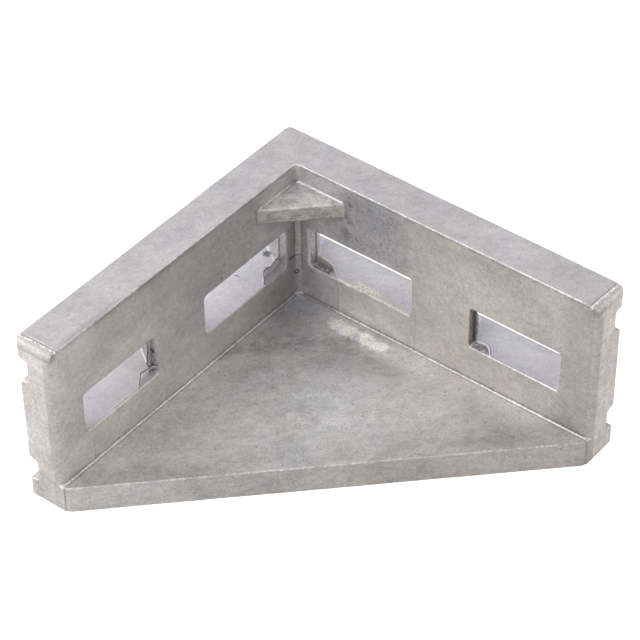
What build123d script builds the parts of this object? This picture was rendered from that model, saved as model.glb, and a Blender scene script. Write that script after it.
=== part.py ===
"""Right-angle corner bracket for slotted aluminium framing, die cast in one piece.

Two walls stand on a gusset plate that closes the foot of the corner. Their outer faces seat on
two lengths of framing, and each wall has two slots for the bolts. The part is a block less the
cores that shape it: one pocket core from above and one side core through each wall.

Frame: the outer corner's foot is the origin, the walls run along +X and +Y, and +Z is up.
All sizes are in millimetres and degrees.
"""
from build123d import *
import math
import os

# Overall sizes
LEG = 58.0             # length of each wall, from the outer corner to its free end
HEIGHT = 28.5          # height of the walls, foot to rim
WALL = 6.3             # thickness of the walls
PLATE = 4.5            # thickness of the gusset plate
PLATE_REACH = 0.4      # how far the plate's long edge runs out past the walls' inner faces

# Seating faces: a middle pad between two grooves, with a lip above and below
LIP = 3.0              # height of each lip
GROOVE = 4.2           # width of each groove at the seating face
GROOVE_DEPTH = 2.0     # depth of each groove
GROOVE_DRAFT = 7.0     # lean of a groove's flanks
PAD_ROUND = 1.5        # rounding of the pad's long edges
LIP_ROUND = 0.4        # rounding of a lip's edge at its groove
FLOOR_ROUND = 0.5      # rounding in a groove's bottom corners

# Bolt slots: two in each wall
SLOT_HEIGHT = 7.1      # clear height of a slot
SLOT_DROP = 0.15       # how far the slots' middle lies below the walls' middle
FAR_SLOT = 15.3        # length of the slot near the wall's free end, at the inner face
END_MARGIN = 5.65      # metal between that slot and the free end
BRIDGE = 10.0          # metal between the two slots of a wall
CORNER_GAP = 2.45      # metal between the other slot and the inner corner
SLOT_LAND = 1.4        # depth of the square part of a slot's corner-side end, at the inner face
SLOT_LEAN = 33.5       # lean of that end below the square part, opening out to the seating face
SLOT_ROUND = 0.6       # rounding of a slot's corners

# Free ends of the walls
NOSE = 1.5             # height of the rolled nose along the top of each end
NOSE_ROUND = 1.3       # rounding of the nose's upper edge
CREASE = 0.2           # depth of the crease under the nose
CREASE_ROUND = 1.0     # radius of that crease
JAMB_ROUND = 1.3       # rounding of the inner upright edge of each end, below the nose

# Roundings of the outline and the pocket
CORNER_ROUND = 0.8     # outer corner of the bracket
END_ROUND = 0.5        # outer upright edge of each free end
TOE_ROUND = 2.2        # where the plate's long edge meets the ends
POCKET_ROUND = 1.0     # upright inner corner of the pocket
FOOT_ROUND = 0.25      # along the foot of the walls, on the plate

# Web: a small three-cornered web across the inner corner, below the rim
WEB_LEG = 8.8          # length of the web along each wall
WEB = 2.5              # thickness of the web
WEB_DROP = 3.0         # distance of the web's top below the rim
WEB_ROUND = 0.35       # rounding of the web's long upper edge
WEB_FILLET = 0.3       # fillet where the web's top and front meet the walls

CLEAR = 1.0            # how far a core runs past the face that it cuts

MIDDLE = HEIGHT / 2
SLOT_LEVEL = MIDDLE - SLOT_DROP  # height of the slots' middle
DIAGONAL = Plane(origin=(0, 0, 0), z_dir=(1, -1, 0))  # the mirror plane between the two walls


def block():
    """The outline of the whole bracket seen from above, raised to its full height."""
    toe = WALL + PLATE_REACH
    corners = [(0, 0), (LEG, 0), (LEG, toe), (toe, LEG), (0, LEG)]
    outline = Polygon(*corners, align=None)
    rounds = [CORNER_ROUND, END_ROUND, TOE_ROUND, TOE_ROUND, END_ROUND]
    for corner, radius in zip(corners, rounds):
        vertex = outline.vertices().sort_by_distance((*corner, 0))[0]
        outline = fillet(vertex, radius)
    return extrude(outline, HEIGHT)


def web():
    """The three-cornered web, with its long upper edge rounded."""
    top = HEIGHT - WEB_DROP
    reach = WALL + WEB_LEG
    plan = Polygon((0, 0), (reach + WALL, 0), (0, reach + WALL), align=None)
    prism = Pos(0, 0, top - WEB) * extrude(plan, WEB)
    long_edge = prism.edges().group_by(Axis.Z)[-1].sort_by(SortBy.LENGTH)[-1]
    return fillet(long_edge, WEB_ROUND)


def pocket_core():
    """The core that leaves the walls, the plate and the web standing."""
    size = LEG + CLEAR
    height = HEIGHT - PLATE + CLEAR
    core = Pos(WALL, WALL, PLATE) * Box(size, size, height, align=(Align.MIN, Align.MIN, Align.MIN))
    upright = core.edges().filter_by(Axis.Z).sort_by_distance((WALL, WALL, MIDDLE))[0]
    core = fillet(upright, POCKET_ROUND)
    foot = core.edges().group_by(Axis.Z)[0]
    foot = foot.filter_by_position(Axis.X, WALL, LEG).filter_by_position(Axis.Y, WALL, LEG)
    core = fillet(foot, FOOT_ROUND)
    core = core - web()
    top = HEIGHT - WEB_DROP
    outline = core.edges().filter_by_position(Axis.Z, top, top)
    along_walls = outline.sort_by(SortBy.LENGTH)[:-1]
    front = core.edges().filter_by_position(Axis.Z, top - WEB, top, inclusive=(False, False))
    for axis in (Axis.X, Axis.Y):
        along_walls += front.filter_by_position(axis, WALL, WALL)
    return fillet(along_walls, WEB_FILLET)


def seating_section():
    """The wall's section, with the pad, grooves and lips of its seating face on the left."""
    narrowing = GROOVE_DEPTH * math.tan(math.radians(GROOVE_DRAFT))
    section = Rectangle(WALL, HEIGHT, align=Align.MIN)
    for foot in (LIP, HEIGHT - LIP - GROOVE):
        groove = Polygon(
            (0, foot),
            (GROOVE_DEPTH, foot + narrowing),
            (GROOVE_DEPTH, foot + GROOVE - narrowing),
            (0, foot + GROOVE),
            align=None,
        )
        section = section - groove
    floors = section.vertices().filter_by_position(Axis.X, GROOVE_DEPTH, GROOVE_DEPTH)
    section = fillet(floors, FLOOR_ROUND)
    lips = section.vertices().filter_by_position(Axis.X, 0, 0).sort_by(Axis.Y)
    section = fillet([lips[1], lips[4]], LIP_ROUND)
    pad = section.vertices().filter_by_position(Axis.X, 0, 0)
    pad = pad.filter_by_position(Axis.Y, LIP + GROOVE, HEIGHT - LIP - GROOVE)
    return fillet(pad, PAD_ROUND)


def slot_section(start, end, depth):
    """A slot's section from start to end along the wall, at one depth behind the seating face."""
    middle = ((start + end) / 2, depth, SLOT_LEVEL)
    across = Plane(middle, x_dir=(1, 0, 0), z_dir=(0, -1, 0))
    return across * RectangleRounded(end - start, SLOT_HEIGHT, SLOT_ROUND)


def slot_plug(start, end):
    """One slot's core, from start to end along the wall at its inner face.

    The end towards the corner is square for the depth of the land. Below it that end leans, so
    that the slot is longer on the seating face.
    """
    land = WALL - SLOT_LAND
    foot = start - (land + CLEAR) * math.tan(math.radians(SLOT_LEAN))
    square = extrude(slot_section(start, end, WALL + CLEAR), SLOT_LAND + CLEAR)
    leaning = loft([slot_section(start, end, land), slot_section(foot, end, -CLEAR)])
    return square + leaning


def side_core():
    """The core that shapes the seating face along X: the two grooves and the two slots."""
    mould = Pos(-CLEAR, 0) * Rectangle(CLEAR + GROOVE_DEPTH, HEIGHT, align=Align.MIN)
    ridges = extrude(Plane.YZ.offset(-CLEAR) * (mould - seating_section()), LEG + 2 * CLEAR)
    near_start = WALL + CORNER_GAP
    far_start = LEG - END_MARGIN - FAR_SLOT
    near = slot_plug(near_start, far_start - BRIDGE)
    far = slot_plug(far_start, LEG - END_MARGIN)
    return ridges + near + far


def edge_cutter(radius, length):
    """A bar along Z that rounds a square edge: its hollow side faces -X and -Y from the origin."""
    square = Rectangle(radius + CLEAR, radius + CLEAR, align=Align.MIN)
    quarter = Circle(radius)
    return extrude(square - quarter, length)


def end_cutters():
    """What shapes the free end of the wall along X: the nose, its crease and the jamb below."""
    jamb = Pos(LEG - JAMB_ROUND, WALL - JAMB_ROUND, PLATE)
    jamb = jamb * edge_cutter(JAMB_ROUND, HEIGHT - NOSE - PLATE)
    across = WALL + 2 * CLEAR
    nose = Pos(LEG - NOSE_ROUND, WALL + CLEAR, HEIGHT - NOSE_ROUND) * Rot(90, 0, 0)
    nose = nose * edge_cutter(NOSE_ROUND, across)
    crease = Pos(LEG + CREASE_ROUND - CREASE, WALL / 2, HEIGHT - NOSE) * Rot(90, 0, 0)
    crease = crease * Cylinder(CREASE_ROUND, across)
    return jamb + nose + crease


def corner_bracket():
    """The finished casting."""
    casting = block() - pocket_core()
    for core in (side_core(), end_cutters()):
        casting = casting - core - mirror(core, about=DIAGONAL)
    return casting


os.makedirs("parts", exist_ok=True)
bracket = corner_bracket()
bracket.label = "corner_bracket"
export_step(bracket, "parts/corner_bracket.step")
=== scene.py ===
"""A die-cast aluminium corner bracket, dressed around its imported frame.

The casting is one piece: the frame's own solid, remade as an even skin, then given the waves,
nibbled edges, trimmed noses and parting marks of a raw casting. The flash left in the slots is
added as small ragged fins. Meshes are in metres, and a size in millimetres is written times MM.
"""
import math

import bmesh
import bpy
import numpy as np
from mathutils import Matrix, Vector


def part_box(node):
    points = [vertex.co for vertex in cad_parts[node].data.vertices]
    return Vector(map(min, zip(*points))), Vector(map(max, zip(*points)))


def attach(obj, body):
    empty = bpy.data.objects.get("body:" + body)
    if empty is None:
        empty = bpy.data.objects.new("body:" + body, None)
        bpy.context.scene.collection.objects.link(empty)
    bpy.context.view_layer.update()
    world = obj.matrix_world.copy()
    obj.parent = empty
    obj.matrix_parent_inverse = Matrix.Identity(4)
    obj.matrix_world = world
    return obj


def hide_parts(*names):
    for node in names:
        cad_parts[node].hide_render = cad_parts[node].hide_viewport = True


MM = 0.001

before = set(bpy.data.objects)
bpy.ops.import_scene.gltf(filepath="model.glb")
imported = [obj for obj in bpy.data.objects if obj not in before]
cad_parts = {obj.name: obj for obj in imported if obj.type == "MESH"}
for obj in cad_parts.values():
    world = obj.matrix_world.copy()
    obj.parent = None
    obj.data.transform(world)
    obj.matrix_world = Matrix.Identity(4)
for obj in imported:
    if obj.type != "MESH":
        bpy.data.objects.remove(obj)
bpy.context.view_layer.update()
node_low, node_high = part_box("corner_bracket")

LEG = node_high.x - node_low.x
HEIGHT = node_high.z - node_low.z
WALL = 6.3 * MM
LIP_TOP = 3.08 * MM        # height of the lower lip's top edge, on the seating faces
LIP_REACH = 3.4 * MM       # height up to which the skin belongs to that lip
LOW, HIGH = 10.55, 17.65   # a slot's floor and top, in millimetres

SKIN = 0.135 * MM          # spacing of the casting's even skin
SKIN_FACES = 195_000       # triangles kept in the finished skin
END_ROUND = 1.0 * MM       # rounding of the free ends' outer upright edges
LIP_ROUND = 0.9 * MM       # rounding of the lower lip's top edge

TRIM = 1.40 * MM           # distance of a nose's trim line from the free end, on the outer side
TRIM_LEAN = 0.25 * MM      # how much further from the end it is on the inner side

FIN_STEP = 0.09 * MM       # spacing of a fin's sections along its foot
FIN_SUNK = 0.1 * MM        # how deep a fin's foot is sunk into the metal
FIN_TAPER = 0.25 * MM      # length over which a fin fades in at each end
FIN_SIDES = 12             # points round a fin's section


# ---------------------------------------------------------------- surfaces

def grain(points, size, seed):
    """Smooth noise from -1 to 1.

    A seeded lattice of random numbers, size apart, is blended between the eight numbers round
    each point by the weights 3t^2 - 2t^3 along each axis.
    """
    table = np.random.default_rng(seed).uniform(-1, 1, (32, 32, 32))
    scaled = points / size + 7.3
    low = np.floor(scaled).astype(int)
    t = scaled - low
    t = t * t * (3 - 2 * t)
    total = np.zeros(len(points))
    for corner in np.ndindex(2, 2, 2):
        weight = np.prod(np.where(corner, t, 1 - t), axis=1)
        index = (low + corner) % 32
        total += weight * table[index[:, 0], index[:, 1], index[:, 2]]
    return total


def step(value, start, end):
    """A smooth rise from 0 at start to 1 at end."""
    t = np.clip((value - start) / (end - start), 0, 1)
    return t * t * (3 - 2 * t)


def bell(value, middle, width):
    """A smooth bump of height 1, width wide on each side of the middle."""
    return np.exp(-((value - middle) / width) ** 2)


def coords(mesh):
    """The places of the mesh's vertices, one row each."""
    co = np.empty(len(mesh.vertices) * 3, np.float32)
    mesh.vertices.foreach_get("co", co)
    return co.reshape(-1, 3).astype(float)


def normals(mesh):
    """The normals at the mesh's vertices, one row each."""
    no = np.empty(len(mesh.vertices) * 3, np.float32)
    mesh.vertex_normals.foreach_get("vector", no)
    return no.reshape(-1, 3).astype(float)


def place(mesh, points):
    """Puts the mesh's vertices at those points."""
    mesh.vertices.foreach_set("co", points.astype(np.float32).ravel())
    mesh.update()


def spread(edges, values, rounds):
    """Each value becomes the mean of itself and its neighbours' mean, so many times over."""
    count = np.bincount(edges.ravel(), minlength=len(values)).astype(float)
    for _ in range(rounds):
        total = np.bincount(edges[:, 0], values[edges[:, 1]], len(values))
        total += np.bincount(edges[:, 1], values[edges[:, 0]], len(values))
        values = 0.5 * values + 0.5 * total / count
    return values


def through(obj, kind, **settings):
    """The object's mesh after one modifier."""
    modifier = obj.modifiers.new(kind, kind)
    for name, value in settings.items():
        setattr(modifier, name, value)
    deps = bpy.context.evaluated_depsgraph_get()
    mesh = bpy.data.meshes.new_from_object(obj.evaluated_get(deps))
    obj.modifiers.remove(modifier)
    old, obj.data = obj.data, mesh
    bpy.data.meshes.remove(old)
    return mesh


def keep(mesh, name, values):
    """Stores one number for each vertex, for the materials to read."""
    found = mesh.attributes.get(name) or mesh.attributes.new(name, "FLOAT", "POINT")
    found.data.foreach_set("value", values.astype(np.float32))


def trim_distance(u, v):
    """How far a point lies past the trim line of a nose.

    The line crosses the rim from 1.4 mm before the free end on the outer side to 1.65 mm before
    it on the inner side, and wanders by a tenth of a millimetre.
    """
    line = LEG - TRIM - TRIM_LEAN * v / WALL
    across = np.stack([v, 0 * v, 0 * v], axis=1)
    slow, quick = grain(across, 0.9 * MM, 11), grain(across, 0.3 * MM, 12)
    return u - line - 0.09 * MM * slow - 0.05 * MM * quick


def casting_marks(p):
    """How far the marks of casting and trimming lift the skin, for both walls.

    Along a wall u runs from the corner and v from the seating face. The noses' trim line is a
    groove with a low burr past it. The outer edge of the right wall's slot floors is a raised
    lip. The parting marks on the walls' inner faces are low upright ridges that fade with height.
    """
    lift = np.zeros(len(p))
    z = p[:, 2]
    for u, v, side in ((p[:, 0], p[:, 1], 0), (p[:, 1], p[:, 0], 1)):
        past = trim_distance(u, v)
        rim = step(z, HEIGHT - 0.9 * MM, HEIGHT - 0.3 * MM) * (v < WALL + 0.3 * MM)
        rough = grain(p, 0.5 * MM, 13 + side)
        lift -= 0.10 * MM * bell(past, 0, 0.11 * MM) * rim
        lift += 0.02 * MM * bell(past, 0.35 * MM, 0.2 * MM) * rim * (0.4 + rough)
        floor = bell(z, LOW * MM, 0.12 * MM) * step(u, 5 * MM, 6 * MM) * (u < 53 * MM)
        lift += 0.16 * MM * floor * step(v, 1.6 * MM, 0.5 * MM) * (v > -0.1 * MM) * side
        inner = bell(v, WALL, 0.1 * MM)
        # each parting mark: its place along the wall, the height of its top, and how far it stands out
        marks = ((27.7, 12.3, 0.045), (13.8, 9.0, 0.04)) if side else ((51.0, 8.5, 0.05),)
        for at, height, high in marks:
            fade = 1 - step(z, (height - 3) * MM, height * MM)
            lift += high * MM * bell(u, at * MM, 0.12 * MM) * inner * fade
    return lift


def round_over(p, along, across, middle, radius, ahead):
    """Moves the points that lie past a rounded edge back onto it.

    The edge runs along the third axis, and its round is a circle of that radius about the
    middle. A point is past it if it lies outward of the middle on both axes, and further from
    the middle than the radius. On the first axis outward is the direction ahead, 1 or -1, and
    on the second it is towards zero.
    """
    first, second = (p[:, along] - middle[0]) * ahead, middle[1] - p[:, across]
    far = np.hypot(first, second)
    past = (first > 0) & (second > 0) & (far > radius)
    scale = np.where(past, radius / np.maximum(far, 1e-9), 1.0)
    p[:, along] = np.where(past, middle[0] + ahead * first * scale, p[:, along])
    p[:, across] = np.where(past, middle[1] - second * scale, p[:, across])


def casting_skin():
    """The casting's skin: the solid's faces merged, remade as even quads, eased and worn."""
    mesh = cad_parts["corner_bracket"].data.copy()
    shell = bmesh.new()
    shell.from_mesh(mesh)
    bmesh.ops.remove_doubles(shell, verts=shell.verts, dist=1e-6)
    shell.to_mesh(mesh)
    shell.free()
    mesh.materials.clear()
    obj = bpy.data.objects.new("casting", mesh)
    bpy.context.scene.collection.objects.link(obj)
    through(obj, "REMESH", mode="VOXEL", voxel_size=SKIN, adaptivity=0.0, use_smooth_shade=True)
    mesh = through(obj, "SMOOTH", factor=0.5, iterations=1)

    edges = np.empty(len(mesh.edges) * 2, np.int32)
    mesh.edges.foreach_get("vertices", edges)
    edges = edges.reshape(-1, 2)
    p, n = coords(mesh), normals(mesh)
    # how far each vertex stands out from its neighbours' mean: above 0 on ridges
    count = np.bincount(edges.ravel(), minlength=len(p)).astype(float)
    mean = np.stack([
        np.bincount(edges[:, 0], p[edges[:, 1], k], len(p))
        + np.bincount(edges[:, 1], p[edges[:, 0], k], len(p)) for k in range(3)], axis=1)
    bend = ((p - mean / count[:, None]) * n).sum(axis=1) / SKIN
    bend = spread(edges, bend, 2)
    ridge = np.clip(bend, 0, 1)
    keep(mesh, "ridge", ridge)

    # slow waves of the die's faces, nibbled edges, and the marks of casting and trimming
    lift = 0.020 * MM * grain(p, 6.0 * MM, 1) + 0.010 * MM * grain(p, 2.2 * MM, 2)
    lift -= 0.22 * MM * ridge * np.clip(grain(p, 0.55 * MM, 4) + 0.1, 0, 1)
    lift += casting_marks(p)
    p += n * lift[:, None]
    for u, v in ((0, 1), (1, 0)):
        round_over(p, u, v, (LEG - END_ROUND, END_ROUND), END_ROUND, 1)
        lip = p[p[:, 2] < LIP_REACH]
        round_over(lip, 2, v, (LIP_TOP - LIP_ROUND, LIP_ROUND), LIP_ROUND, 1)
        p[p[:, 2] < LIP_REACH] = lip
    place(mesh, p)
    mesh = through(obj, "DECIMATE", ratio=SKIN_FACES / (2 * len(mesh.polygons)))
    mesh.shade_smooth()
    return obj


def on_wall(side, u, depth, z):
    """Points at u along a wall, depth behind its inner face and z up."""
    v = WALL - depth
    return np.stack([v, u, z] if side else [u, v, z], axis=1)


def fin(name, side, points, up, thickness, tip, seed):
    """A ragged fin of flash along a wall's slot.

    The points are rows of u, depth, z and reach in millimetres, and the fin's foot runs evenly
    along them. At each place on the foot the section is a narrow ellipse, as thick as asked and
    as tall as the reach, whose foot is sunk into the metal. Noise changes the reach by a third,
    and bends the tip to either side. The attribute "tip" rises from 0 at the foot to that number.
    """
    rows = np.array(points, float) * MM
    gap = np.linalg.norm(np.diff(rows[:, :3], axis=0), axis=1)
    along = np.concatenate([[0], np.cumsum(gap)])
    count = max(24, int(along[-1] / FIN_STEP))
    s = np.linspace(0, along[-1], count)
    ease = np.hanning(9)[1:-1]
    eased = []
    for k in range(4):
        line = np.pad(np.interp(s, along, rows[:, k]), 3, mode="reflect", reflect_type="odd")
        eased.append(np.convolve(line, ease / ease.sum(), mode="valid"))
    u, depth, z, reach = eased
    taper = np.clip(np.minimum(s, along[-1] - s) / FIN_TAPER, 0, 1) ** 0.5
    foot = on_wall(side, u, depth, z)
    flat = np.stack([s, 0 * s, 0 * s], axis=1)
    slow, quick = grain(flat, 0.55 * MM, seed), grain(flat, 0.22 * MM, seed + 1)
    reach = reach * (1 + 0.22 * slow + 0.16 * quick)
    bend = 0.35 * thickness * MM * grain(flat, 0.7 * MM, seed + 2)
    tangent = np.gradient(foot, axis=0)
    tangent /= np.linalg.norm(tangent, axis=1)[:, None]
    rise = np.array([-up[1], up[0], up[2]] if side else [up[0], -up[1], up[2]], float)
    across = np.cross(tangent, rise)
    across /= np.linalg.norm(across, axis=1)[:, None]
    angle = np.linspace(0, 2 * math.pi, FIN_SIDES, endpoint=False)
    tall = (1 + np.sin(angle)) / 2
    height = np.outer(reach * taper + FIN_SUNK, tall) - FIN_SUNK
    wide = 0.5 * thickness * MM * np.outer(0.4 + 0.6 * taper, np.cos(angle) * (1 - 0.35 * tall))
    wide += np.outer(bend, tall ** 2)
    rings = foot[:, None] + rise * height[..., None] + across[:, None] * wide[..., None]
    piece = skin(name, rings)
    keep(piece.data, "tip", np.tile(tall * tip, count))
    return piece


def skin(name, rings):
    """A closed skin over rings of points: quads from ring to ring, and a cap on each end ring."""
    rows, size = rings.shape[:2]
    at = np.arange(rows * size).reshape(rows, size)
    turned = np.roll(at, -1, axis=1)
    quads = np.stack([at[:-1], turned[:-1], turned[1:], at[1:]], axis=-1).reshape(-1, 4)
    faces = quads.tolist() + [at[0, ::-1].tolist(), at[-1].tolist()]
    mesh = bpy.data.meshes.new(name)
    mesh.from_pydata(rings.reshape(-1, 3).tolist(), [], faces)
    shell = bmesh.new()
    shell.from_mesh(mesh)
    bmesh.ops.recalc_face_normals(shell, faces=shell.faces)
    shell.to_mesh(mesh)
    shell.free()
    mesh.shade_smooth()
    obj = bpy.data.objects.new(name, mesh)
    bpy.context.scene.collection.objects.link(obj)
    return obj


# ---------------------------------------------------------------- materials

class Wire:
    """A node's output in an expression: each operator adds the Math node that does it."""

    def __init__(self, finish, socket):
        self.finish, self.socket = finish, socket

    def math(self, operation, *others):
        """This value taken through a Math node."""
        return self.finish.node("ShaderNodeMath", {"operation": operation}, self, *others)

    def __add__(self, other):
        return self.math("ADD", other)

    def __sub__(self, other):
        return self.math("SUBTRACT", other)

    def __rsub__(self, other):
        return self.finish.node("ShaderNodeMath", {"operation": "SUBTRACT"}, other, self)

    def __mul__(self, other):
        return self.math("MULTIPLY", other)

    def __pow__(self, other):
        return self.math("POWER", other)

    def __or__(self, other):
        return self.math("MAXIMUM", other)

    def __and__(self, other):
        return self.math("MINIMUM", other)

    __radd__, __rmul__ = __add__, __mul__


class Finish:
    """A material's node tree."""

    def __init__(self, name):
        self.material = bpy.data.materials.new(name)
        self.material.use_nodes = True
        self.tree = self.material.node_tree
        self.tree.nodes.clear()

    def node(self, kind, settings=None, *inputs, out=0, **named):
        """Adds a node: its settings first, then its sockets' values or links."""
        made = self.tree.nodes.new(kind)
        for name, value in (settings or {}).items():
            setattr(made, name, value)
        for name, value in [*enumerate(inputs), *named.items()]:
            if value is None:
                continue
            if isinstance(name, str):
                name = name.replace("_", " ")
            if isinstance(value, Wire):
                self.tree.links.new(value.socket, made.inputs[name])
            else:
                made.inputs[name].default_value = value
        return Wire(self, made.outputs[out] if made.outputs else None)

    def blend(self, factor, a, b, kind="MIX"):
        """Colour a turning into colour b as the factor goes from 0 to 1."""
        made = self.tree.nodes.new("ShaderNodeMix")
        made.data_type, made.blend_type = "RGBA", kind
        for index, value in ((0, factor), (6, a), (7, b)):
            if isinstance(value, Wire):
                self.tree.links.new(value.socket, made.inputs[index])
            elif index:
                made.inputs[index].default_value = (*value, 1)
            else:
                made.inputs[index].default_value = value
        return Wire(self, made.outputs[2])

    def tint(self, colour, factor, by):
        """The colour times another, as far as the factor goes."""
        return self.blend(factor, colour, by, "MULTIPLY")

    def rise(self, value, start, end, low=0.0, high=1.0):
        """A smooth rise from low to high as the value goes from start to end."""
        smooth = {"interpolation_type": "SMOOTHSTEP", "clamp": False}
        return self.node("ShaderNodeMapRange", smooth, value, start, end, low, high)

    def near(self, value, middle, width):
        """1 where the value is at the middle, falling to 0 a width away."""
        return self.rise((value - middle).math("ABSOLUTE"), 0.0, width, 1.0, 0.0)

    def within(self, value, start, end, soft=0.3):
        """1 where the value lies between start and end, with soft shoulders."""
        begun = self.rise(value, start - soft, start + soft)
        return begun * self.rise(value, end - soft, end + soft, 1, 0)

    def noise(self, where, size, detail=3.0, rough=0.5, warp=0.0):
        """Noise from 0 to 1 with features of that size."""
        return self.node("ShaderNodeTexNoise", {"noise_dimensions": "3D"}, Vector=where,
                         Scale=1 / size, Detail=detail, Roughness=rough, Distortion=warp)

    def stretched(self, where, *by):
        """A place with its x, y and z each times a number."""
        return self.node("ShaderNodeVectorMath", {"operation": "MULTIPLY"}, where, by)

    def distance(self, where, point):
        """How far a place is from a point."""
        return self.node("ShaderNodeVectorMath", {"operation": "DISTANCE"}, where, point, out="Value")

    def attribute(self, name):
        """A number stored for each vertex."""
        return self.node("ShaderNodeAttribute", {"attribute_name": name}, out="Fac")

    def done(self, shader):
        """Ends the tree with that shader, and gives the material."""
        self.node("ShaderNodeOutputMaterial", None, Surface=shader)
        return self.material


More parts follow.
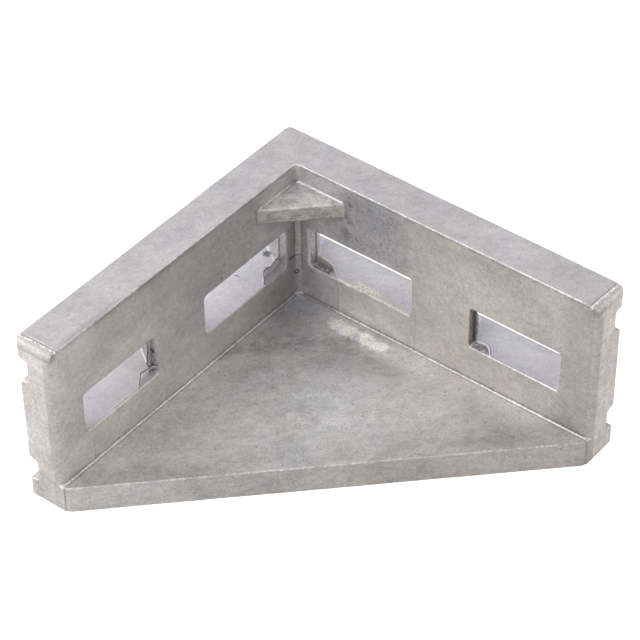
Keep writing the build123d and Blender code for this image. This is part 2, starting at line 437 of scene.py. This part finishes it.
def raw_aluminium():
    """Raw die-cast aluminium: matt grey, mottled, with fine grain, with painted highlights on its edges
    and painted light and shade over its faces.

    Each area is a mask made from the place in millimetres: x runs along the left wall, y along
    the right one, and z is up. Left and right are meant facing the corner from inside.
    """
    wall, near_slot, far_slot = 6.3, 8.75, 37.05   # the walls' thickness, and where the slots start
    land, lean = 4.9, 0.662                        # the slots' square ends reach out to there, then lean
    diagonal = 0.707                               # turns a sum of x and y into a length
    f = Finish("raw_aluminium")
    metres = f.node("ShaderNodeTexCoord", out="Object")
    here = f.node("ShaderNodeVectorMath", {"operation": "SCALE"}, metres, Scale=1 / MM)
    x, y, z = (f.node("ShaderNodeSeparateXYZ", None, here, out=k) for k in range(3))

    # the metal's own variation, from broad clouds to fine grain; some of it is drawn out sideways
    drawn = f.node("ShaderNodeCombineXYZ", None, (x + y) * diagonal, (x - y) * 0.40, z)
    cloud = f.noise(here, 9.0, 2, 0.5)
    stain = f.noise(drawn, 2.2, 4, 0.62, 0.4)
    mottle = f.noise(drawn, 0.7, 3, 0.6)
    speckle = f.noise(here, 0.30, 2, 0.6)
    warmth = f.noise(here, 5.0, 3, 0.6)
    fine = f.noise(here, 0.17, 2, 0.6)
    broken = f.noise(here, 0.5, 3, 0.7)
    pits = f.rise(f.noise(here, 0.42, 2, 0.6), 0.62, 0.72)

    # where each face lies: u runs along either wall from the corner
    u = x | y
    inner_left, inner_right = f.near(y, wall, 0.14), f.near(x, wall, 0.14)
    inner = (inner_left | inner_right) * f.rise(z, 4.6, 4.8)
    top = f.rise(z, 28.15, 28.4)
    pocket = f.rise(x, 6.4, 6.7) * f.rise(y, 6.4, 6.7)
    plate = pocket * f.rise(z, 4.7, 4.55)
    deep = (f.within(y, 0.15, 6.15, 0.1) * f.within(x, 5.0, 53.0)) \
        | (f.within(x, 0.15, 6.15, 0.1) * f.within(y, 5.0, 53.0))
    slots = deep * f.within(z, 10.4, 17.8, 0.1)
    floors = slots * (f.rise(z, 10.67, 10.59) | (f.rise(x, 1.9, 1.5) * f.rise(z, 10.86, 10.78)))
    cleared = f.rise(x, 6.2, 6.3) * f.rise(y, 6.2, 6.3)

    # the metal's colour, with less variation on the calmer faces
    tone = 0.5 + (cloud - 0.5) * 0.35 + (stain - 0.5) * 0.50 + (mottle - 0.5) * 0.52 \
        + (speckle - 0.5) * 0.62 + (fine - 0.5) * 0.40
    calm = floors | top * 0.6 | inner_left * 0.2
    tone = tone - (tone - 0.5) * calm * 0.45
    colour = f.blend(f.rise(tone, 0.10, 0.90), (0.350, 0.343, 0.340), (0.640, 0.628, 0.622))
    colour = f.tint(colour, f.rise(warmth, 0.45, 0.70), (1.0, 0.982, 0.965))
    colour = f.tint(colour, f.rise(warmth, 0.50, 0.30) * 0.8, (0.975, 0.98, 1.01))
    colour = f.tint(colour, pits * (1 - calm * 0.5) * 0.8, (0.62, 0.61, 0.62))

    # painted light and shade, with some of the metal's own tone: each face and area is made lighter or
    # darker for how the lamps fall on it, such as the brighter free ends, the shaded front face, the lilac
    # tops and slot floors and the lit and shaded ends of the slots; a mask, and what its colour is
    # multiplied by
    left_end = f.rise(x, 57.2, 57.8) * f.rise(y, 5.10, 4.80)
    right_end = f.rise(y, 57.2, 57.8) * f.rise(x, 5.30, 5.00)
    nose = f.rise(u, 56.5, 56.9) * f.rise(z, 26.9, 27.5)
    behind = slots * f.rise(z, 10.57, 10.62)
    from_left = x - far_slot + (land - y) * lean
    from_right = y - far_slot + (land - x) * lean
    pitch = far_slot - near_slot
    outer_left, outer_right = behind * f.rise(y, 4.95, 4.8), behind * f.rise(x, 4.95, 4.8)
    lean_left = outer_left * (f.near(from_left, 0.0, 1.4) | f.near(from_left + pitch, 0.0, 1.4))
    lean_right = outer_right * (f.near(from_right, 0.0, 1.4) | f.near(from_right + pitch, 0.0, 1.4))
    lean_left = f.rise(lean_left, 0.1, 0.5)
    lean_right = f.rise(lean_right, 0.1, 0.5)
    heel = f.rise(z, 11.35, 11.0)
    front = f.rise(x + y, 64.4, 64.6) * f.rise(z, 4.5, 4.4)
    high = f.rise(z, 16.5, 19.5)
    low = f.rise(z, 11.0, 9.5)
    web = f.within(z, 22.8, 25.7, 0.1) * f.rise(x + y, 21.3, 21.5) * f.rise(x + y, 22.0, 21.6)
    areas = (
        (top, (0.916, 0.907, 0.937)),
        (floors, (1.27, 1.27, 1.36)),
        (floors * f.rise(x, 33.0, 34.0), (0.87, 0.86, 0.84)),
        (inner_left * f.rise(x, 36.0, 44.0), (1.09, 1.09, 1.06)),
        (inner_left * f.within(x, 26.0, 37.0, 3.0), (0.95, 0.95, 0.94)),
        (inner_left * f.within(x, 32.0, 49.0, 3.0) * f.rise(z, 19.5, 24.0), (0.88, 0.88, 0.88)),
        (inner_left * f.within(x, 26.0, 50.0, 4.0) * f.near(z, 28.0, 1.0), (0.80, 0.80, 0.80)),
        (inner_left * f.within(x, 14.0, 30.0, 4.0) * high, (0.86, 0.87, 0.86)),
        (inner_left * low, (1.08, 1.07, 1.04)),
        (inner_right * f.within(y, 26.0, 52.0, 3.0), (1.02, 0.995, 0.975)),
        (inner_right * f.rise(y, 51.0, 54.0), (0.87, 0.84, 0.81)),
        (inner_right * f.within(y, 38.0, 48.0, 3.0) * f.rise(z, 21.0, 25.5), (0.88, 0.88, 0.87)),
        (inner_right * f.within(y, 17.0, 25.0, 2.5) * f.rise(z, 21.5, 25.0), (0.86, 0.86, 0.87)),
        (top * f.within(y, 33.0, 43.0, 4.0), (1.06, 1.06, 1.07)),
        (top * f.near(y, 5.9, 0.9) * f.within(x, 44.0, 56.4, 3.0), (0.82, 0.82, 0.82)),
        (inner_right * low, (1.01, 1.00, 1.00)),
        (plate, (1.03, 1.03, 1.035)),
        (plate * f.near(x - y, 0.0, 22.0) * f.rise(x + y, 34.0, 44.0), (1.23, 1.23, 1.23)),
        (plate * f.rise(x - y, 10.0, 22.0), (1.03, 1.03, 1.01)),
        ((plate - front) * f.rise(x + y, 51.0, 63.5) * f.rise(x - y, 18.0, 3.0), (0.76, 0.76, 0.76)),
        ((plate - front) * f.rise(x + y, 58.0, 63.0) * f.rise(x - y, 12.0, 26.0), (0.80, 0.80, 0.80)),
        (plate * f.near(x, 7.5, 4.5) * f.within(y, 20.0, 30.0, 3.0), (1.20, 1.20, 1.19)),
        (plate * f.near(x + y, 46.0, 9.0) * f.near(x - y, -2.0, 14.0), (0.98, 0.99, 1.01)),
        (plate * f.rise(y - x, 8.0, 22.0), (1.01, 0.99, 0.97)),
        (front, (0.92, 0.92, 0.92)),
        (front * f.rise(x - y, 22.0, 36.0), (1.12, 1.12, 1.13)),
        (front * f.near(x - y, -4.0, 34.0), (0.83, 0.81, 0.78)),
        (left_end, (1.26, 1.23, 1.22)),
        (left_end * low, (0.92, 0.93, 0.93)),
        (right_end, (1.27, 1.24, 1.22)),
        (f.rise(y, 56.7, 57.1) * f.rise(x, 5.10, 5.40) * f.rise(z, 26.6, 26.2), (0.95, 0.92, 0.89)),
        (nose, (0.81, 0.80, 0.79)),
        (nose * f.rise(y, 50.0, 52.0), (1.12, 1.12, 1.12)),
        (web, (0.84, 0.81, 0.77)),
        (lean_left * (1 - heel), (0.68, 0.68, 0.71)),
        (lean_left * heel, (0.62, 0.62, 0.64)),
        (lean_left * f.rise(x, 20.0, 15.0), (1.28, 1.28, 1.28)),
        (lean_right, (1.20, 1.20, 1.27)),
        (inner_right * f.within(y, 8.15, 8.9, 0.12) * f.within(z, 10.6, 17.6), (1.45, 1.44, 1.42)),
        (inner_right * f.near(y, 7.15, 0.25) * f.within(z, 9.5, 18.5), (0.72, 0.71, 0.72)),
        (inner_left * f.within(x, 7.0, 8.6, 0.3) * f.within(z, 10.2, 18.0), (0.92, 0.88, 0.84)),
    )
    for mask, by in areas:
        colour = f.tint(colour, mask, by)

    # worn, dull and dark areas of the plate and the walls, and painted shade in the plate's corner
    # painted shade: the plate darker towards the corner between the walls, and bluer right in it
    corner = f.rise(x + y, 30.0, 18.0) * plate
    colour = f.tint(colour, corner * 0.8, (0.87, 0.87, 0.90))
    bluish = f.near(x - y, -0.5, 3.5) * f.near(x + y, 17.0, 3.5) * plate
    colour = f.tint(colour, bluish, (0.88, 0.90, 0.97))
    brownish = f.near(x - y, 3.5, 3.5) * f.near(x + y, 22.5, 4.0) * plate
    colour = f.tint(colour, brownish, (0.90, 0.87, 0.84))
    soot_and_shade = f.rise(f.noise(drawn, 1.3, 4, 0.7), 0.40, 0.58)
    ring = f.near(x + y, 28.5, 5.0) | (f.near(x, 12.2, 2.2) * f.within(y, 15.0, 28.0, 2.0))
    ring = ring | (f.within(y, 44.0, 52.0, 3.0) * f.near(x + y, 61.5, 3.5) * 0.6)
    colour = f.tint(colour, ring * plate * soot_and_shade * 0.8, (0.78, 0.78, 0.79))
    worn = f.near(x, 8.7, 2.4) * f.within(y, 13.6, 25.0, 1.6)
    worn = worn + (mottle - 0.5) * 0.7 + (stain - 0.5) * 0.7
    worn = plate * f.rise(x, 6.9, 7.4) * f.rise(worn, 0.36, 0.80)
    colour = f.tint(colour, worn * f.rise(speckle, 0.30, 0.55, 0.5, 1.0), (1.58, 1.56, 1.50))
    paler = plate * f.near(x, 9.0, 3.0) * f.within(y, 16.0, 36.0, 4.0)
    colour = f.tint(colour, paler, (1.14, 1.13, 1.12))
    above = inner_right * f.within(y, 13.0, 26.0, 3.5) * f.within(z, 18.5, 27.6, 0.8)
    colour = f.tint(colour, above * 0.7, (0.84, 0.84, 0.88))
    grimy = f.within(y, 50.0, 56.0, 2.0) * f.near(z, 5.0, 2.5) * inner_right * f.rise(stain, 0.4, 0.65)
    colour = f.tint(colour, grimy, (0.72, 0.69, 0.67))
    # darker on the right wall beside and below the web, broken up by noise
    darker_by_web = inner_right * f.near(y + (stain - 0.5) * 6.0, 15.6, 2.4) * f.within(z, 17.5, 26.5, 1.5)
    above = above | (inner_left * f.within(x, 8.0, 26.0, 4.0) * f.within(z, 16.0, 27.0, 2.0) * 0.7)
    colour = f.tint(colour, darker_by_web * soot_and_shade, (0.62, 0.61, 0.61))
    spots = f.rise(f.noise(here, 0.7, 3, 0.65), 0.54, 0.66)
    colour = f.tint(colour, spots * (above | corner * 0.5) * 0.8, (0.60, 0.59, 0.60))
    colour = f.tint(colour, f.rise(speckle, 0.50, 0.62) * soot_and_shade * ring * plate, (0.62, 0.61, 0.61))

    # the slots' square ends, lit and shaded with painted light and shade, and their floors: crumbly flash,
    # painted shade in front of the webs, and a dark spot painted as the shade of a pit on one end and one
    # floor
    # painted light and shade on the square ends: each lightened or darkened for how the light reaches it
    lands = slots * (f.near(u, far_slot, 0.4) | f.near(u, near_slot, 0.4)) * f.rise(x & y, 4.5, 4.8)
    colour = f.tint(colour, lands, (0.80, 0.78, 0.78))
    colour = f.tint(colour, lands * f.near(y, near_slot, 0.4), (1.60, 1.60, 1.60))
    colour = f.tint(colour, lands * f.near(x, near_slot, 0.4), (1.55, 1.55, 1.58))
    colour = f.tint(colour, lands * f.near(x, far_slot, 0.4), (1.70, 1.68, 1.68))
    colour = f.tint(colour, lands * f.near(y, far_slot, 0.4), (0.80, 0.78, 0.76))
    colour = f.tint(colour, lands * spots * (1 - f.near(x, near_slot, 0.4) * 0.6), (0.50, 0.49, 0.50))
    crumbly = floors * f.rise(f.near(x, 6.0, 1.9) + (speckle - 0.5) * 0.8, 0.10, 0.40)
    crumbly = crumbly * f.within(y + (mottle - 0.5) * 2.0, 16.3, 20.6, 0.7)
    crumbly = crumbly | (floors * f.near(x, 6.1, 0.8) * f.within(y, 15.0, 26.5, 1.0))
    colour = f.blend(crumbly * f.rise(speckle, 0.40, 0.52), colour, (0.88, 0.84, 0.76))
    colour = f.tint(colour, crumbly * f.rise(speckle, 0.42, 0.34), (0.70, 0.67, 0.63))
    # painted shade on the floor strip in front of the webs, broken up by the grain
    shade_before_web = floors * f.rise(f.near(x, 5.7, 1.1), 0.1, 0.5)
    shade_before_web = shade_before_web * (f.within(u, 8.8, 12.2, 0.6) | f.within(u, 37.2, 40.0, 0.6))
    colour = f.tint(colour, shade_before_web * f.rise(broken, 0.35, 0.55), (0.42, 0.40, 0.38))
    # painted shade: a dark spot where a small pit lies on one square end and on one floor
    end_pit, pit = f.distance(here, (37.1, 5.2, 14.1)), f.distance(here, (7.9, 1.9, 10.6))
    pit_shade = f.rise(end_pit, 0.42, 0.28) | (f.rise(pit + (speckle - 0.5) * 1.5, 0.8, 0.5) * floors)
    colour = f.tint(colour, pit_shade, (0.32, 0.31, 0.31))

    # painted highlights: a thin bright line on each ridge, broken up by the grain, and on the rims, the
    # plate's front edge, the web's edge and the sills of the right wall's slots
    bright = f.rise(f.attribute("ridge") + (broken - 0.5) * 0.30, 0.14, 0.30)
    colour = f.blend(bright * 0.45, colour, (0.84, 0.83, 0.82))
    walls = f.near(y, wall, 0.26) | f.near(x, wall, 0.26)
    edge = f.near(z, 28.47, 0.24) * walls * f.rise(x, 6.0, 6.2) * f.rise(y, 6.0, 6.2)
    edge = edge | (f.near(z, 4.47, 0.26) * f.near((x + y - 64.7) * diagonal, 0.0, 0.26))
    edge = edge | (f.near(z, 25.4, 0.4) * f.near(x + y, 21.4, 0.5))
    sill = f.near(z, 10.5, 0.22) * f.near(x, wall, 0.22)
    sill = sill * (f.within(y, 15.0, 26.8) | f.within(y, 39.5, 52.2))
    edge = edge * f.rise(broken, 0.40, 0.62) * (f.rise(u, 9.0, 24.0) * 0.35 + 0.55)
    edge = edge * (f.rise(stain, 0.38, 0.58) * 0.6 + 0.4)
    sill = sill * f.rise(broken, 0.34, 0.60)
    colour = f.blend((edge | sill) * 0.7, colour, (0.90, 0.89, 0.87))

    # painted shade in the creases round the web, and at the line where the walls meet the plate a painted
    # highlight on the joint with painted shade above and beside it and near the corner
    creased = f.near(z, 25.65, 0.35) * f.near(y, 6.5, 0.35) * f.rise(x + y, 21.3, 20.9)
    creased = creased | (f.near(z, 22.95, 0.3) * f.rise(x + y, 21.0, 21.3) * pocket)
    colour = f.tint(colour, creased, (0.66, 0.65, 0.64))
    foot = f.near(z, 4.60, 0.20) * (f.near(y, 6.40, 0.20) | f.near(x, 6.40, 0.20))
    hidden = f.rise(x, 6.75, 6.55) * f.rise(y, 14.5, 12.5) * f.rise(z, 4.95, 4.8) * cleared
    open_line = 1 - f.rise(x, 7.4, 7.0) * f.rise(y, 14.5, 12.5)
    colour = f.blend(foot * open_line * f.rise(broken, 0.40, 0.60) * 0.2, colour, (0.80, 0.78, 0.76))
    over = f.near(z, 4.77, 0.21) * walls * cleared * open_line
    colour = f.tint(colour, over, (0.66, 0.65, 0.65))
    beside = (f.near(x, 6.64, 0.21) | f.near(y, 6.64, 0.21)) * f.rise(z, 4.68, 4.60)
    colour = f.tint(colour, beside * cleared * open_line, (0.76, 0.75, 0.75))
    colour = f.tint(colour, foot * open_line * f.rise(broken, 0.56, 0.42), (0.76, 0.75, 0.75))
    colour = f.tint(colour, hidden, (0.50, 0.49, 0.49))
    shade = f.near(z, 5.0, 0.2) * inner * f.rise(broken, 0.60, 0.42)
    shade = shade | (f.near(z, 28.1, 0.16) * inner * f.rise(stain, 0.60, 0.45))
    shade = shade | (f.near(z, 10.75, 0.16) * floors * f.near(y, 5.9, 0.5) * f.rise(broken, 0.6, 0.45))
    colour = f.tint(colour, shade * 0.75, (0.58, 0.57, 0.58))

    # parting marks on the walls, and a scratched line and a pinhole in the upright corner
    part = f.near(y, 27.75, 0.11) * f.rise(z, 12.6, 11.0) * inner_right
    part = part | (f.near(y, 13.85, 0.12) * f.rise(z, 10.4, 8.5) * inner_right)
    part = (part | (f.near(x, 51.0, 0.12) * f.rise(z, 9.0, 6.5) * inner_left)) * 0.55
    inside = f.rise(x + y, 16.5, 15.5) * cleared
    fold = z + (mottle - 0.5) * 1.6
    part = part | (f.near(fold, 12.0, 0.22) * inside * f.rise(f.near(x - y, 0.5, 2.2), 0.0, 0.5))
    part = part | (f.near(x, 7.0, 0.22) * f.near(y, 6.35, 0.22) * f.within(z, 11.0, 23.0) * 0.6)
    round_hole = ((x - y - 0.25) ** 2.0 * 0.5 + (z - 8.8) ** 2.0).math("SQRT")
    part = part | (f.near(round_hole, 0.32, 0.26) * f.rise(x + y, 14.5, 14.0) * inside)
    colour = f.tint(colour, part * f.rise(broken, 0.20, 0.42), (0.34, 0.32, 0.32))
    glint = f.near(fold, 12.34, 0.16) * inside * f.near(x - y, -0.4, 1.4)
    glint = glint | (f.near(z, 4.72, 0.22) * f.near(x + y, 13.3, 0.7) * cleared)
    colour = f.blend(glint * 0.7, colour, (0.88, 0.87, 0.86))

    # a gritty front on the web, and drips down the free ends
    gritty = f.within(z, 22.8, 25.8, 0.1) * f.rise(x + y, 22.0, 21.6) * pocket * f.rise(mottle, 0.56, 0.40)
    colour = f.tint(colour, gritty, (0.84, 0.82, 0.80))
    drips = f.noise(f.stretched(here, 1.0, 1.0, 0.10), 0.5, 3, 0.6)
    colour = f.tint(colour, (left_end | right_end) * f.rise(drips, 0.48, 0.66), (0.90, 0.89, 0.89))

    # the noses' trim line: a dark score with pale crumbs past it, the crumbs' brightness partly a painted
    # glint
    past = (x - 56.6 + y * 0.04) | (y - 56.6 + x * 0.04)
    past = past + (broken - 0.5) * 0.35
    score = f.near(past, 0.0, 0.16) * top
    crumbs = f.near(past, 0.30, 0.34) * f.rise(z, 27.9, 28.2) * f.rise(speckle, 0.44, 0.56)
    colour = f.tint(colour, score * 0.8, (0.46, 0.44, 0.43))
    colour = f.blend(crumbs * 0.85, colour, (0.93, 0.91, 0.89))
    seam = f.near(u, 56.65, 0.14) * inner_left * f.rise(z, 27.2, 26.8)
    colour = f.blend(seam * f.rise(broken, 0.45, 0.6) * 0.5, colour, (0.85, 0.83, 0.81))

    # fine lines along the rim
    left_lines = f.noise(f.stretched(here, 0.12, 1.0, 1.0), 0.35, 3, 0.6)
    right_lines = f.noise(f.stretched(here, 1.0, 0.12, 1.0), 0.35, 3, 0.6)
    left = f.rise(x - y, -1.0, 1.0)
    lines = left_lines * left + right_lines * (1 - left)
    colour = f.tint(colour, f.rise(lines, 0.55, 0.75) * top * 0.5, (0.86, 0.86, 0.87))

    bumps = speckle * 0.35 + mottle * 0.5 + stain * 0.5 + lines * top * 0.3 - pits * 0.4
    bump = f.node("ShaderNodeBump", None, Height=bumps, Strength=0.30, Distance=0.05 * MM)
    rough = 0.54 + (stain - 0.5) * 0.2 - bright * 0.10 - floors * 0.04 + nose * 0.14
    return f.done(f.node("ShaderNodeBsdfPrincipled", None, Base_Color=colour,
                         Metallic=0.75 - lean_left * 0.55, Roughness=rough + lean_left * 0.4, Normal=bump))


def thin_flash(name, body=None):
    """Squeezed-out metal: painted shade makes it dark at its foot, and it grows paler and crumbly towards
    its tip, where a painted highlight runs along the edge.

    Cracked flash has an even body of that colour instead, with a dark crack along its tip.
    """
    f = Finish(name)
    here = f.node("ShaderNodeTexCoord", out="Object")
    crumb = f.noise(here, 0.25 * MM, 3, 0.65)
    cloud = f.noise(here, 0.9 * MM, 2)
    tip = f.attribute("tip") + (crumb - 0.5) * 0.5
    # painted shade at the foot, paler metal above it, and a painted highlight along the tip
    colour = f.blend(f.rise(tip, 0.05, 0.55), (0.19, 0.186, 0.187), (0.50, 0.49, 0.49))
    colour = f.blend(f.rise(tip, 0.72, 0.95), colour, (0.85, 0.84, 0.83))
    if body:
        colour = f.blend(f.rise(crumb, 0.3, 0.7), [0.76 * part for part in body], body)
        colour = f.blend(f.rise(tip, 0.78, 0.92), colour, (0.13, 0.125, 0.13))
    colour = f.tint(colour, f.rise(cloud, 0.45, 0.65) * 0.5, (0.70, 0.68, 0.66))
    bump = f.node("ShaderNodeBump", None, Height=crumb, Strength=0.5, Distance=0.06 * MM)
    return f.done(f.node("ShaderNodeBsdfPrincipled", None, Base_Color=colour, Metallic=0.7,
                         Roughness=0.50 + (cloud - 0.5) * 0.3, Normal=bump))


def plain_floor():
    """A pale floor that shows white to the camera and keeps the soft shadow on it."""
    f = Finish("plain_floor")
    seen = f.node("ShaderNodeLightPath", out="Is Camera Ray")
    gloss = f.node("ShaderNodeLightPath", out="Is Glossy Ray")
    glass = f.node("ShaderNodeLightPath", out="Is Transmission Ray")
    strength = seen * 0.75 + (gloss | glass) * 0.22
    paint = f.node("ShaderNodeBsdfDiffuse", None, Color=(0.5, 0.5, 0.5, 1))
    glow = f.node("ShaderNodeEmission", None, Color=(1, 1, 1, 1), Strength=strength)
    return f.done(f.node("ShaderNodeAddShader", None, paint, glow))


# ---------------------------------------------------------------- the object

casting = casting_skin()
casting.data.materials.append(raw_aluminium())
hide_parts("corner_bracket")
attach(casting, "root")

# Each fin: its wall (0 along X, 1 along Y), rows of u, depth, z and reach in millimetres, the way
# it stands (along u, depth or z), its thickness, the attribute's value at its tip, and its finish.
UPWARD, OUTWARD = (0, 0, 1), (1, 0, 0)
FINS = {
    "flash_far_left_edge": (0, [(37.0, 1.45, LOW, 1.05), (37.0, 1.45, 12.6, 1.0),
                                (37.0, 1.4, 15.4, 0.75), (37.0, 1.4, HIGH, 0.6)],
                            OUTWARD, 0.3, 1.0, "dull"),
    "flash_far_left_web": (0, [(36.9, 1.4, LOW, 0.6), (37.9, 1.4, LOW, 0.8), (39.6, 1.3, LOW, 1.05),
                               (40.4, 0.85, LOW, 0.5), (41.0, 0.35, LOW, 0.12)],
                           UPWARD, 0.24, 1.0, "cracked"),
    "flash_far_left_branch": (0, [(38.0, 1.4, LOW, 0.75), (37.4, 0.9, 11.2, 0.4),
                                  (36.9, 0.45, 11.3, 0.12)],
                              UPWARD, 0.16, 1.0, "soot_and_shade"),
    "flash_far_left_seam": (0, [(41.3, 0.5, LOW, 0.06), (44.5, 0.55, LOW, 0.09), (48.2, 0.52, LOW, 0.06),
                                (49.2, 1.2, LOW, 0.04)],
                            UPWARD, 0.14, 1.0, "soot_and_shade"),
    "flash_near_left_edge": (0, [(8.7, 1.45, LOW, 0.5), (8.7, 1.45, 13.0, 0.3),
                                 (8.7, 1.45, HIGH, 0.2)],
                             OUTWARD, 0.22, 0.8, "cracked"),
    "flash_near_left_web": (0, [(8.7, 1.4, LOW, 1.6), (10.7, 1.4, LOW, 1.25), (12.4, 1.4, LOW, 1.45),
                                (13.2, 0.8, LOW, 0.6), (13.7, 0.4, LOW, 0.12)],
                            UPWARD, 0.24, 0.95, "cracked"),
    "flash_near_left_tick": (0, [(14.3, 4.2, LOW, 0.15), (14.6, 5.2, LOW, 0.2)],
                             UPWARD, 0.16, 1.0, "soot_and_shade"),
    "flash_near_right_edge": (1, [(8.7, 1.4, LOW, 0.3), (8.7, 1.4, 14.0, 0.25),
                                  (8.7, 1.4, HIGH, 0.2)],
                              OUTWARD, 0.2, 0.5, "soot_and_shade"),
    "flash_near_right_web": (1, [(8.7, 1.4, LOW, 1.45), (10.3, 1.4, LOW, 1.7), (11.25, 1.4, LOW, 1.4),
                                 (12.0, 1.35, LOW, 1.0), (12.5, 1.1, LOW, 0.3), (13.5, 0.2, LOW, 0.15),
                                 (16.2, 0.25, LOW, 0.1)],
                             UPWARD, 0.24, 1.0, "soot_and_shade"),
    "flash_near_right_seam": (1, [(16.0, 0.12, LOW, 0.10), (19.0, 0.08, LOW, 0.16),
                                  (23.0, 0.10, LOW, 0.10), (26.4, 0.08, LOW, 0.08)],
                              UPWARD, 0.2, 1.0, "soot_and_shade"),
    "flash_far_right_edge": (1, [(37.0, 1.4, LOW, 0.5), (37.0, 1.4, 14.0, 0.75),
                                 (37.0, 1.4, 16.3, 0.45), (37.0, 1.4, HIGH, 0.2)],
                             OUTWARD, 0.24, 0.3, "soot_and_shade"),
    "flash_far_right_web": (1, [(36.9, 1.4, LOW, 0.3), (37.7, 1.4, LOW, 0.42), (39.4, 1.35, LOW, 0.62),
                                (40.2, 0.7, LOW, 0.35), (40.8, 0.1, LOW, 0.1)],
                            UPWARD, 0.26, 1.0, "soot_and_shade"),
}
finishes = {
    # the first finish keeps painted shade at the foot and a painted highlight along the tip
    "soot_and_shade": thin_flash("thin_flash"),
    "cracked": thin_flash("cracked_flash", (0.84, 0.83, 0.85)),
    "dull": thin_flash("dull_flash", (0.62, 0.61, 0.61)),
}
for number, (name, (side, rows, up, thickness, tip, finish)) in enumerate(FINS.items()):
    piece = fin(name, side, rows, up, thickness, tip, 50 + 5 * number)
    piece.data.materials.append(finishes[finish])
    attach(piece, "root")

# ---------------------------------------------------------------- floor, light and camera

FLOOR_SIZE = 3.0
corners = [(x * FLOOR_SIZE / 2, y * FLOOR_SIZE / 2, node_low.z - 0.05 * MM)
           for x, y in ((-1, -1), (1, -1), (1, 1), (-1, 1))]
floor_mesh = bpy.data.meshes.new("floor")
floor_mesh.from_pydata(corners, [], [(0, 1, 2, 3)])
floor = bpy.data.objects.new("floor", floor_mesh)
bpy.context.scene.collection.objects.link(floor)
floor_mesh.materials.append(plain_floor())

CAMERA_DISTANCE = 0.37504
CAMERA_TURN = math.radians(38.593)      # from +X towards +Y
CAMERA_RISE = math.radians(41.641)
CAMERA_ROLL = math.radians(-0.572)
CAMERA_LENS = 148.70
AIM = Vector((0.2686, 0.3070, 0.2)) * LEG

camera = bpy.data.objects.new("camera", bpy.data.cameras.new("camera"))
bpy.context.scene.collection.objects.link(camera)
back = Vector((math.cos(CAMERA_RISE) * math.cos(CAMERA_TURN),
               math.cos(CAMERA_RISE) * math.sin(CAMERA_TURN), math.sin(CAMERA_RISE)))
side = (-back).cross(Vector((0, 0, 1))).normalized()
upward = side.cross(-back)
right = side * math.cos(CAMERA_ROLL) + upward * math.sin(CAMERA_ROLL)
up = upward * math.cos(CAMERA_ROLL) - side * math.sin(CAMERA_ROLL)
turn = Matrix((right, up, back)).transposed().to_4x4()
camera.matrix_world = Matrix.Translation(AIM + back * CAMERA_DISTANCE) @ turn
camera.data.lens, camera.data.sensor_width = CAMERA_LENS, 36.0
camera.data.clip_start, camera.data.clip_end = 0.01, 20.0
bpy.context.scene.camera = camera

LIT = Vector((0.02, 0.02, 0.012))       # the point that the lamps face
LAMP_DISTANCE = 0.9


def softbox(name, azimuth, elevation, size, strength):
    """A square area lamp at that direction from the bracket, facing it."""
    light = bpy.data.lights.new(name, "AREA")
    light.shape, light.size, light.energy = "SQUARE", size, strength
    lamp = bpy.data.objects.new(name, light)
    bpy.context.scene.collection.objects.link(lamp)
    azimuth, elevation = math.radians(azimuth), math.radians(elevation)
    away = Vector((math.cos(elevation) * math.cos(azimuth),
                   math.cos(elevation) * math.sin(azimuth), math.sin(elevation)))
    lamp.location = LIT + away * LAMP_DISTANCE
    lamp.rotation_mode = "QUATERNION"
    lamp.rotation_quaternion = (-away).to_track_quat("-Z", "Y")


world = bpy.data.worlds.new("studio")
world.use_nodes = True
bpy.context.scene.world = world
world.node_tree.nodes["Background"].inputs["Color"].default_value = (1, 1, 1, 1)
world.node_tree.nodes["Background"].inputs["Strength"].default_value = 0.06
softbox("back", 218, 42, 0.9, 2.1)
softbox("back_left", 265, 40, 0.6, 1.6)
softbox("back_left_low", 290, 30, 0.6, 6.4)
softbox("back_right_low", 150, 30, 0.6, 1.7)
softbox("left_high", -5, 50, 0.5, 7.2)
softbox("left", -25, 42, 0.5, 0.5)
softbox("right", 110, 42, 0.5, 3.8)

bpy.context.scene.view_settings.view_transform = "Standard"
